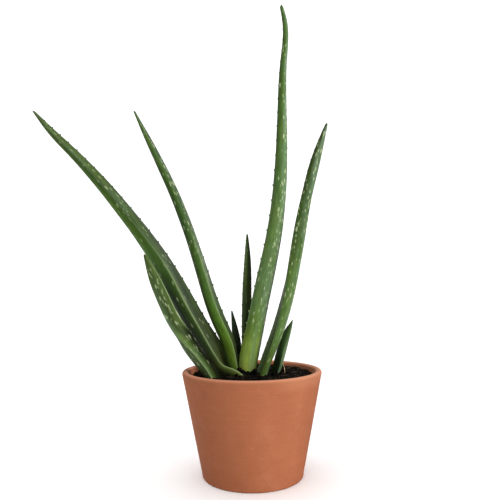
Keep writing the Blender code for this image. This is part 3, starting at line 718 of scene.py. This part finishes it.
def leaf_rings(spine, pitch, scale, given, seed):
    """Points of the rings with their teeth, and what the material reads at each.

    A ring begins at margin 1 and goes round the outer face to margin 0.
    """
    flat, lateral, face = leaf_sections(spine, seed)
    across, facing, forward = (axis[:, None, :] for axis in spine.axes)
    rings = spine.centre[:, None, :] + across * flat[:, :, [0]] + facing * flat[:, :, [1]]
    heights, sizes = teeth(spine, pitch, scale)
    faint = np.clip(spine.half_width / LINE_FULL_WIDTH, 0.0, 1.0)[:, None] ** 2
    everywhere = np.ones(flat.shape[:2])
    margin_highlight = tooth = 0.0 * everywhere
    for side, (margin, outward) in enumerate(((0, 1.0), (OUTER_STEPS, -1.0))):
        size = sizes[side][:, None]
        away = np.linalg.norm(flat - flat[:, [margin]], axis=2)
        reach = np.clip(1.0 - away / (TOOTH_REACH * size), 0.0, 1.0) ** TOOTH_TAPER
        strength = read_stops(given["teeth"][side], spine.share)
        raised = reach * (heights[side] * strength)[:, None]
        point = across * outward * TOOTH_HEIGHT + forward * TOOTH_LEAN + facing * TOOTH_CURL
        rings = rings + (raised * size)[:, :, None] * point
        # The pale line along each margin is a painted highlight.
        pale = read_stops(given["line"][side], spine.share)[:, None]
        margin_highlight = np.maximum(margin_highlight, pale * faint * np.exp(-(away / LINE_WIDTH) ** 2))
        tooth = np.maximum(tooth, raised)
    along = spine.places[:, None] * everywhere
    return rings, {
        "share": spine.share[:, None] * everywhere,
        "lateral": lateral * everywhere,
        "side": face * everywhere,
        "margin_highlight": margin_highlight,
        "tooth": tooth,
        "place": np.stack([girth_places(flat), along, face * everywhere], axis=2),
    }


def draw_out(rings, marks, apex):
    """Add rings that close in from the last one towards the apex."""
    middle = rings[-1].mean(axis=0)
    extra = []
    for shrink in TIP_RINGS:
        centre = middle + (apex - middle) * shrink
        extra.append(centre + (rings[-1] - middle) * (1.0 - shrink ** TIP_BLUNTNESS))
    for key, values in marks.items():
        marks[key] = np.concatenate([values] + [values[-1:]] * len(extra))
    return np.concatenate([rings, np.array(extra)]), marks


def skin_mesh(name, rings, marks, apex):
    """A mesh through the rings, closed at the base and at the apex, with its attributes."""
    count, around = rings.shape[:2]
    low = np.arange(count * around).reshape(count, around)
    after = np.roll(low, -1, axis=1)
    quads = np.stack([low[:-1], after[:-1], after[1:], low[1:]], axis=2).reshape(-1, 4).tolist()
    tip = count * around
    fan = [[int(low[-1, k]), int(after[-1, k]), tip] for k in range(around)]
    base = [low[0][::-1].tolist()]
    points = np.vstack([rings.reshape(-1, 3), apex[None, :]])
    mesh = bpy.data.meshes.new(name)
    mesh.from_pydata(points.tolist(), [], quads + fan + base)
    for key, values in marks.items():
        kind, field = ("FLOAT", "value") if values.ndim == 2 else ("FLOAT_VECTOR", "vector")
        layer = mesh.attributes.new(key, kind, "POINT")
        values = np.append(values.ravel(), values[-1, 0])
        layer.data.foreach_set(field, values.astype(np.float32))
    mesh.shade_smooth()
    return mesh


def add_leaf(name, leaf, seed):
    """A leaf's skin: one closed surface with its attributes and its material."""
    pitch, scale, curve = leaf
    spine = Spine(curve)
    rings, marks = draw_out(*leaf_rings(spine, pitch, scale, LOOKS[name], seed), spine.apex)
    piece = new_object(name + "_skin", skin_mesh(name + "_skin", rings, marks, spine.apex))
    piece.data.materials.append(leaf_material(name + "_skin", LOOKS[name], seed))
    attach(piece, "root")
    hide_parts(name)


def shifted(factors, seed):
    """Stretch factors whose last one, through the noise, is a leaf's own."""
    across, along, through = factors
    return (across, along, through + seed)


def leaf_face(look, share, lateral, given, change):
    """One face's colour with its painted shade and light, its bloom with painted sheen, and its
    spots.
    """
    along = look.ramp(share, dimmed(given["colours"], LEAF_DIM))
    upward = look.step(share, *change)
    tint_and_shade = look.mix(upward, look.ramp(lateral, given["low"]), look.ramp(lateral, given["high"]))
    colour = look.mix(1.0, along, tint_and_shade, "MULTIPLY")
    waxy_and_sheen, amount = (look.ramp(lateral, given[key], False) for key in ("bloom_and_sheen", "spots"))
    return colour, waxy_and_sheen, amount


def leaf_spots(look, place, amount, strength, seed):
    """Pale long spots in loose rows, as a mask; the amount is the share of cells that hold one."""
    wobble = look.noise(place, SPOT_WOBBLE_SCALE, 1.0, 0.5, "Color")
    moved = look.add("VectorMath", {"operation": "MULTIPLY_ADD"},
                     {0: wobble, 1: SPOT_WOBBLE, 2: place}).outputs[0]
    masks = []
    for turn, (across, along, width) in enumerate(SPOT_CELLS):
        rows = look.stretch(moved, shifted((across, along, SPOT_DEPTH), seed + turn))
        cells = look.add("TexVoronoi", None, {"Vector": rows, "Scale": 1.0})
        near = look.step(cells.outputs["Distance"], SPOT_SOFTNESS * width, width, 1.0, 0.0)
        chance = look.add("SeparateColor", None, {0: cells.outputs["Color"]})
        chosen = look.math("GREATER_THAN", amount, chance.outputs[0])
        pale = look.step(chance.outputs[1], 0.0, 1.0, 0.45, 1.0)
        masks.append(look.math("MULTIPLY", look.math("MULTIPLY", near, chosen), pale))
    return look.math("MULTIPLY", look.math("MAXIMUM", *masks), strength)


def leaf_material(name, given, seed):
    """A leaf's skin: its two faces, then on both the same streaks, bloom with painted sheen, spots,
    painted highlight line and teeth.
    """
    look = Look(name)
    place = look.attribute("place", "Vector")
    share, lateral, side, tooth, margin_highlight = (
        look.attribute(key) for key in ("share", "lateral", "side", "tooth", "margin_highlight"))
    faces = [leaf_face(look, share, lateral, given[key], given["change"])
             for key in ("outer", "inner")]
    colour, waxy_and_sheen, amount = (look.mix(side, *pair) for pair in zip(*faces))
    amount = look.math("MULTIPLY", amount, look.ramp(share, given["spotted"], False))
    noises = {}
    for kind, (factors, detail, roughness, low, high) in LEAF_NOISES.items():
        stretched = look.stretch(place, shifted(factors, seed))
        noises[kind] = look.noise(stretched, 1.0, detail, roughness)
        colour = look.varied(colour, noises[kind], low, high)
    patches = look.noise(look.stretch(place, shifted(BLOOM_AND_SHEEN_STRETCH, seed)), 1.0, 3.0)
    bloom_and_sheen = look.math("MULTIPLY", waxy_and_sheen, look.step(patches, 0.32, 0.68, 0.2, 1.7))
    spots = leaf_spots(look, place, amount, given["spots"], seed)
    layers = (
        # The bloom is partly the leaf's pale wax and partly painted sheen.
        (bloom_and_sheen, BLOOM_AND_SHEEN_COLOUR),
        (spots, SPOT_COLOUR),
        # The pale line on the margins is a painted highlight.
        (margin_highlight, MARGIN_HIGHLIGHT_COLOUR),
        (look.step(tooth, 0.15, 0.8), given["tooth"]),
    )
    for mask, over in layers:
        colour = look.mix(mask, colour, linear(over, LEAF_DIM))
    roughness = look.spread(look.noise(place, PORES), 0.42, 0.56)
    veins = look.bump(noises["grain"], 0.05 * MM)
    normal = look.bump(noises["blotches"], 0.20 * MM, veins)
    return look.finish(colour, roughness, normal, LEAF_SPECULAR)


# Pot

POT_SIDES = 224
POT_STEP = 2.0 * MM
LIP_STEPS = 8
FOOT_STEPS = 5
DENT_MM = 0.10
DENT_TURN, DENT_PITCH = 2.2, 30.0 * MM
RIDGE_MM = 0.035
RIDGE_TURN, RIDGE_PITCH = 0.6, 2.6 * MM

CLAY_DIM = 0.85                     # as with the leaves
CLAYS = {0.25: (136, 78, 50), 0.5: (143, 84, 55), 0.8: (150, 90, 61)}
# Painted shade: the clay darker over the top of the wall, under the lip.
CLAY_RIM_SHADE = (130, 80, 55)
# A paler band under the rim, on the right side.
CLAY_PALE_BAND = (170, 116, 86)
# Painted highlight along the top of the lip.
CLAY_LIP_HIGHLIGHT = (172, 124, 100)
CLAY_CHALK = (188, 132, 104)
# Painted shade: the clay darker and warmer towards the right edge, by x over the wall's radius.
CLAY_RIGHT_SHADE = {0.68: (1.0, 1.0, 1.0, 1.0), 0.82: (0.94, 0.90, 0.84, 1.0),
               0.95: (0.86, 0.76, 0.66, 1.0)}

# Noises on the clay: scale, detail and roughness
MOTTLE = (26.0, 4.0, 0.55)
SPECKS = (1500.0, 2.0, 0.7)
CHALK = (60.0, 4.0, 0.65)
THROWING = (1.0, 3.0, 0.6)
THROWING_STRETCH = (4.0, 4.0, 420.0)


def wall_radius(height):
    """Radius of the pot's outside at a height."""
    return POT_BASE_RADIUS + POT_TAPER * height


def arc(centre_r, centre_z, radius, turn_from, turn_to, steps):
    """Points of a round, as (r, z)."""
    points = []
    for step in range(steps + 1):
        out, up = polar(radius, math.radians(turn_from + (turn_to - turn_from) * step / steps))
        points.append((centre_r + out, centre_z + up))
    return points


def straight(start, end, step):
    """Points along a straight line of a profile, without its ends."""
    count = round(math.dist(start, end) / step)
    return [tuple(a + (b - a) * k / count for a, b in zip(start, end)) for k in range(1, count)]


def pot_profile():
    """The pot's half section from the rim of its underside, up and over, to its floor."""
    lip_z = POT_HEIGHT - LIP_RADIUS
    inner_r = POT_RIM_RADIUS - POT_WALL + LIP_RADIUS
    foot = arc(POT_BASE_RADIUS - FOOT_RADIUS, FOOT_RADIUS, FOOT_RADIUS, -90.0, 0.0, FOOT_STEPS)
    outer = arc(POT_RIM_RADIUS - LIP_RADIUS, lip_z, LIP_RADIUS, 0.0, 90.0, LIP_STEPS)
    inner = arc(inner_r, lip_z, LIP_RADIUS, 90.0, 180.0, LIP_STEPS)
    floor = (wall_radius(POT_FLOOR) - POT_WALL, POT_FLOOR)
    profile = foot + straight(foot[-1], outer[0], POT_STEP) + outer + inner
    return profile + straight(inner[-1], floor, POT_STEP * 2.0) + [floor]


def pot_dent(angle, height):
    """How far the hand-turned wall lies inside its ideal cone."""
    place = Vector((*polar(DENT_TURN, angle), height / DENT_PITCH))
    ridge = Vector((1.7, RIDGE_TURN * math.cos(angle), height / RIDGE_PITCH))
    dent = DENT_MM * (1.0 + noise.noise(place))
    return (dent + RIDGE_MM * (1.0 + noise.noise(ridge))) * MM


def add_pot():
    """A finely turned pot in place of the faceted one."""
    builder = bmesh.new()
    rings = []
    for radius, height in pot_profile():
        ring = []
        for angle in angles(POT_SIDES):
            dent = pot_dent(angle, height) if FOOT_RADIUS < height < POT_HEIGHT - MM else 0.0
            ring.append(builder.verts.new((*polar(radius - dent, angle), height)))
        rings.append(ring)
    join_rings(builder, rings)
    builder.faces.new(rings[0])
    builder.faces.new(rings[-1])
    add_piece("pot_body", builder, terracotta(), "pot")


def terracotta():
    """Unglazed clay: matte, with throwing lines, mottling, a painted highlight on the lip and
    painted shade on its right side.
    """
    look = Look("terracotta")
    place = look.position()
    across, _, height = look.add("SeparateXYZ", None, {0: place}).outputs
    radius = look.math("ADD", look.math("MULTIPLY", height, POT_TAPER), POT_BASE_RADIUS)
    side = look.math("DIVIDE", across, radius)
    mottle = look.noise(place, *MOTTLE)
    bands = look.noise(look.stretch(place, THROWING_STRETCH), *THROWING)
    specks = look.noise(place, *SPECKS)
    colour = look.ramp(mottle, dimmed(CLAYS, CLAY_DIM))
    colour = look.tinted(colour, bands, {0.25: 0.98, 0.75: 1.02})
    colour = look.tinted(colour, specks, {0.3: 0.90, 0.6: 1.04})

    def near_rim(low, high, most):
        """A share that grows between two depths below the rim, in mm."""
        return look.step(height, POT_HEIGHT - low * MM, POT_HEIGHT - high * MM, 0.0, most)

    # Painted shade: darker clay over the top few mm of the wall, under the lip.
    colour = look.mix(near_rim(6.0, 2.5, 0.4), colour, linear(CLAY_RIM_SHADE, CLAY_DIM))
    # Painted shade: darker, warmer clay towards the right side.
    colour = look.tinted(colour, side, CLAY_RIGHT_SHADE)
    # A paler band under the rim, on the right side.
    pale_band = look.math("MULTIPLY", look.step(side, 0.15, 0.6), near_rim(14.0, 4.0, 0.26))
    colour = look.mix(pale_band, colour, linear(CLAY_PALE_BAND, CLAY_DIM))
    # Painted highlight along the top of the lip.
    colour = look.mix(near_rim(1.6, 0.4, 0.36), colour, linear(CLAY_LIP_HIGHLIGHT, CLAY_DIM))
    chalk = look.step(look.noise(place, *CHALK), 0.52, 0.80, 0.0, 0.12)
    colour = look.mix(chalk, colour, linear(CLAY_CHALK, CLAY_DIM))
    roughness = look.spread(mottle, 0.78, 0.92)
    normal = look.bump(bands, 0.12 * MM, look.bump(specks, 0.10 * MM))
    return look.finish(colour, roughness, normal, 0.15)


# Soil

SOIL_GAP = 0.4 * MM
SOIL_EDGE = POT_RIM_RADIUS - POT_WALL - SOIL_DROP * POT_TAPER - SOIL_GAP
SOIL_SIDES = 300
SOIL_PITCH = 0.85 * MM
SOIL_PLUG = (80.0 * MM, 50.0 * MM, POT_FLOOR + SOIL_GAP)
SOIL_RISE, RISE_FROM = 2.6 * MM, -0.15
SOIL_SETTLED = 0.6 * MM
LUMP_PITCH, LUMP_HEIGHT = 13.0 * MM, 1.3 * MM
CLOD_PITCH, CLOD_HEIGHT = 4.2 * MM, 1.7 * MM
GRAIN_PITCH, GRAIN_HEIGHT = 1.5 * MM, 0.6 * MM
LOOSE_INSET = 1.5 * MM

CRUMBS = 420
CRUMB_SIZES = (0.5, 1.7)
CRUMB_WIDTHS = (0.6, 1.6)
CRUMB_HEIGHTS = (0.5, 0.9)
CRUMB_RAISED = 0.25
CRUMB_ROUGHNESS = 0.45
CLOD_BASE, CLOD_COARSE, CLOD_FINE = 0.78, 0.34, 0.22
FIBRES = 34
FIBRE_BEND = 0.9
FIBRE_LENGTHS = (4.0, 13.0)
FIBRE_RADII = (0.14, 0.32)
FIBRE_POINTS = 8
FIBRE_LIFT = 0.25 * MM
FIBRE_ARCH = 0.5 * MM
FIBRE_SIDES = 6

# Lumps of soil and the points of the twig: x, y, z in mm, and a lump's radius in mm
CLODS = (
    (-11.8, 5.2, 94.4, 2.6), (-8.6, 3.4, 92.6, 2.2), (2.6, 2.8, 93.2, 2.3), (0.0, 1.4, 91.8, 1.8),
    (-3.6, 2.6, 91.6, 1.7), (14.8, 2.6, 91.4, 2.2), (20.0, 0.4, 90.8, 1.9),
    (-14.2, -4.0, 90.6, 1.8), (-22.4, -6.4, 90.8, 1.9), (-24.6, -14.6, 90.2, 1.8),
    (6.2, -8.8, 90.6, 1.8), (33.0, 12.0, 91.6, 2.4), (28.0, 21.0, 91.4, 2.2),
    (9.0, 32.0, 91.6, 2.3), (-18.0, 36.0, 91.2, 2.1),
)
TWIG = ((30.2, 4.0, 88.5), (31.2, 4.0, 92.5), (30.6, 4.0, 96.0), (29.4, 4.0, 99.0),
        (30.0, 4.0, 101.5))
TUBE_ENDS = 0.45
TWIG_RADIUS = 0.32 * MM
TWIG_SIDES = 8

SOIL_COLOUR = (11, 10, 8)
CRUMB_COLOUR = (20, 16, 13)
CLOD_COLOUR = (12, 11, 9)
SOIL_GAINS = (3.3, 2.8, 2.4)
FIBRE_COLOUR = (46, 35, 25)
TWIG_COLOUR = (124, 106, 80)
STEM_COLOUR = (120, 108, 70)

# Noises on soil and fibre: scale, detail and roughness
SOIL_GRAINS = (900.0, 4.0, 0.7)
SOIL_PATCHES = (240.0, 2.0, 0.6)
FIBRE_STREAKS = (700.0, 3.0, 0.6)


def soil_height(across, along):
    """Height of the loose soil at a place: a heap round the crown, higher behind it, with lumps."""
    away = math.hypot(across - CROWN.x, along - CROWN.y)
    heap = HEAP_HEIGHT * math.exp(-((away / HEAP_RADIUS) ** 2))
    lumps = noise.noise(Vector((across, along, 0.0)) / LUMP_PITCH) * LUMP_HEIGHT
    clods = abs(noise.noise(Vector((across, along, 7.0 * MM)) / CLOD_PITCH)) * CLOD_HEIGHT
    grains = noise.noise(Vector((across, along, 3.0 * MM)) / GRAIN_PITCH) * GRAIN_HEIGHT
    rise = SOIL_RISE * min(1.0, max(0.0, along / SOIL_EDGE - RISE_FROM))
    return POT_HEIGHT - SOIL_DROP + heap + rise + lumps + clods + grains - SOIL_SETTLED


def soil_ring(builder, radius, height=None):
    """A ring of points, on the loose soil where no height is given."""
    ring = []
    for angle in angles(SOIL_SIDES):
        place = polar(radius, angle)
        top = soil_height(*place) if height is None else height
        ring.append(builder.verts.new((*place, top)))
    return ring


def add_soil():
    """The soil's rough top on a plain plug that fills the pot."""
    builder = bmesh.new()
    hub = builder.verts.new((0.0, 0.0, soil_height(0.0, 0.0)))
    count = round(SOIL_EDGE / SOIL_PITCH)
    rings = [soil_ring(builder, SOIL_EDGE * step / count) for step in range(1, count + 1)]
    for height in SOIL_PLUG:
        rings.append(soil_ring(builder, wall_radius(height) - POT_WALL - SOIL_GAP, height))
    for k in range(SOIL_SIDES):
        builder.faces.new((hub, rings[0][k], rings[0][(k + 1) % SOIL_SIDES]))
    join_rings(builder, rings)
    builder.faces.new(rings[-1])
    add_piece("soil_top", builder, soil_material("soil_top", SOIL_COLOUR), "soil")


def scatter(draw):
    """A seeded place on the soil, with its height."""
    radius = (SOIL_EDGE - LOOSE_INSET) * math.sqrt(draw.random())
    place = polar(radius, draw.uniform(0.0, math.tau))
    return Vector((*place, soil_height(*place)))


def add_crumbs():
    """Crumbs of peat and bark, half sunk into the soil."""
    draw = random.Random(11)
    builder = bmesh.new()
    for _ in range(CRUMBS):
        size = draw.uniform(*CRUMB_SIZES) * MM
        centre = scatter(draw) + Vector((0.0, 0.0, size * CRUMB_RAISED))
        stretch = Vector((1.0, draw.uniform(*CRUMB_WIDTHS), draw.uniform(*CRUMB_HEIGHTS)))
        turn = Matrix.Rotation(draw.uniform(0.0, math.pi), 3, "Z")
        crumb = bmesh.ops.create_icosphere(builder, subdivisions=2, radius=size)
        for vertex in crumb["verts"]:
            rough = 1.0 + CRUMB_ROUGHNESS * noise.noise(vertex.co / size * 1.6 + centre / MM)
            vertex.co = centre + turn @ (vertex.co * rough * stretch)
    add_piece("soil_crumbs", builder, soil_material("soil_crumbs", CRUMB_COLOUR))


def add_clods():
    """Rough lumps of soil round the crown, and larger ones here and there."""
    builder = bmesh.new()
    for *at, size in CLODS:
        centre = Vector(at) * MM
        clod = bmesh.ops.create_icosphere(builder, subdivisions=4, radius=size * MM)
        for vertex in clod["verts"]:
            place = vertex.co / MM
            coarse = CLOD_COARSE * noise.noise(place * 0.55 + centre / MM)
            rough = CLOD_BASE + coarse + CLOD_FINE * noise.noise(place * 1.7)
            vertex.co = centre + vertex.co * rough
    add_piece("soil_clods", builder, soil_material("soil_clods", CLOD_COLOUR))


def tube(builder, points, radius, sides):
    """A thin closed tube through points, thinner towards its ends."""
    rings = []
    last = len(points) - 1
    for k, point in enumerate(points):
        forward = (points[min(k + 1, last)] - points[max(k - 1, 0)]).normalized()
        across = forward.orthogonal().normalized()
        upward = forward.cross(across)
        belly = math.sin(math.pi * (k + 0.5) / (last + 1))
        thin = radius * (TUBE_ENDS + (1.0 - TUBE_ENDS) * belly)
        ring = []
        for angle in angles(sides):
            offset = across * math.cos(angle) + upward * math.sin(angle)
            ring.append(builder.verts.new(point + offset * thin))
        rings.append(ring)
    join_rings(builder, rings)
    builder.faces.new(rings[0])
    builder.faces.new(rings[-1])


def add_fibres():
    """Short root hairs and bark fibres that lie on the soil."""
    draw = random.Random(23)
    builder = bmesh.new()
    for _ in range(FIBRES):
        here = scatter(draw)
        angle = draw.uniform(0.0, math.tau)
        bend = draw.uniform(-FIBRE_BEND, FIBRE_BEND)
        length = draw.uniform(*FIBRE_LENGTHS) * MM
        spans = FIBRE_POINTS - 1.0
        points = []
        for k in range(FIBRE_POINTS):
            if math.hypot(here.x, here.y) > SOIL_EDGE - MM:
                break
            lift = FIBRE_LIFT + FIBRE_ARCH * math.sin(math.pi * k / spans)
            points.append(Vector((here.x, here.y, soil_height(here.x, here.y) + lift)))
            here += Vector((*polar(1.0, angle), 0.0)) * length / spans
            angle += bend / spans
        if len(points) > 3:
            tube(builder, points, draw.uniform(*FIBRE_RADII) * MM, FIBRE_SIDES)
    add_piece("soil_fibres", builder, fibre_material("soil_fibres", FIBRE_COLOUR))


def add_twig():
    """A pale scrap of root that stands up beside the small leaf."""
    builder = bmesh.new()
    tube(builder, [Vector(point) * MM for point in TWIG], TWIG_RADIUS, TWIG_SIDES)
    add_piece("soil_twig", builder, fibre_material("soil_twig", TWIG_COLOUR))


def soil_material(name, base):
    """Moist peat: nearly black, with brown grains."""
    look = Look(name)
    place = look.position()
    grains = look.noise(place, *SOIL_GRAINS)
    lumps = look.noise(place, *SOIL_PATCHES)
    lighter = [value * gain for value, gain in zip(base, SOIL_GAINS)]
    stops = {0.4: linear(base, 0.25), 0.54: linear(base, 0.6), 0.68: linear(lighter)}
    colour = look.varied(look.ramp(grains, stops), lumps, 0.35, 1.6)
    return look.finish(colour, look.spread(grains, 0.8, 0.98), look.bump(grains, 0.5 * MM), 0.02)


def fibre_material(name, base):
    """Dry fibre: brown, streaked."""
    look = Look(name)
    streaks = look.noise(look.position(), *FIBRE_STREAKS)
    lighter = [value * 1.5 for value in base]
    colour = look.ramp(streaks, {0.3: linear(base, 0.5), 0.7: linear(lighter)})
    return look.finish(colour, look.spread(streaks, 0.7, 0.9), look.bump(streaks, 0.1 * MM), 0.3)


# Studio

def add_floor():
    """A plain pale floor."""
    builder = bmesh.new()
    corners = ((-1, -1), (1, -1), (1, 1), (-1, 1))
    builder.faces.new([builder.verts.new((x * FLOOR_REACH, y * FLOOR_REACH, 0.0))
                       for x, y in corners])
    look = Look("floor")
    place = look.position()
    tone = look.ramp(look.noise(place, 3.0), {0.0: 0.97, 1.0: 0.99})
    normal = look.bump(look.noise(place, 500.0), 0.02 * MM)
    floor = mesh_object("floor", builder, look.finish(tone, 0.9, normal, 0.2))
    return floor


def add_key(floor):
    """A square soft light on the plant; the floor is kept out of it, and so shows no shadow."""
    lamp = bpy.data.lights.new("key", "AREA")
    lamp.shape = "SQUARE"
    lamp.size = KEY_SIZE
    lamp.energy = KEY_POWER
    key = new_object("key", lamp)
    key.location = KEY_AT
    key.rotation_euler = (KEY_TARGET - KEY_AT).to_track_quat("-Z", "Y").to_euler()
    spared = bpy.data.collections.new("unlit_by_key")
    spared.objects.link(floor)
    key.light_linking.receiver_collection = spared
    spared.collection_objects[0].light_linking.link_state = "EXCLUDE"


def add_sky():
    """An even white sky."""
    sky = bpy.data.worlds.new("studio")
    sky.use_nodes = True
    background = sky.node_tree.nodes["Background"]
    background.inputs["Color"].default_value = (1.0, 1.0, 1.0, 1.0)
    background.inputs["Strength"].default_value = SKY_STRENGTH
    bpy.context.scene.world = sky
    bpy.context.scene.view_settings.view_transform = "Standard"


def add_camera():
    lens = bpy.data.cameras.new("camera")
    lens.lens = LENS_MM
    lens.sensor_width = SENSOR_MM
    lens.clip_start = CAMERA_NEAR
    camera = new_object("camera", lens)
    camera.location = CAMERA_AT
    turn = Matrix.Rotation(CAMERA_PITCH, 3, "X") @ Matrix.Rotation(CAMERA_ROLL, 3, "Z")
    camera.rotation_euler = turn.to_euler()
    bpy.context.scene.camera = camera


def main():
    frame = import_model()
    add_camera()
    for order, (name, leaf) in enumerate(LEAVES.items()):
        add_leaf(name, leaf, 1.0 + order)
    add_pot()
    add_soil()
    add_crumbs()
    add_clods()
    add_fibres()
    add_twig()
    stem = frame["nodes"]["stem"]
    stem.data.materials.clear()
    stem.data.materials.append(fibre_material("stem_skin", STEM_COLOUR))
    add_key(add_floor())
    add_sky()


main()
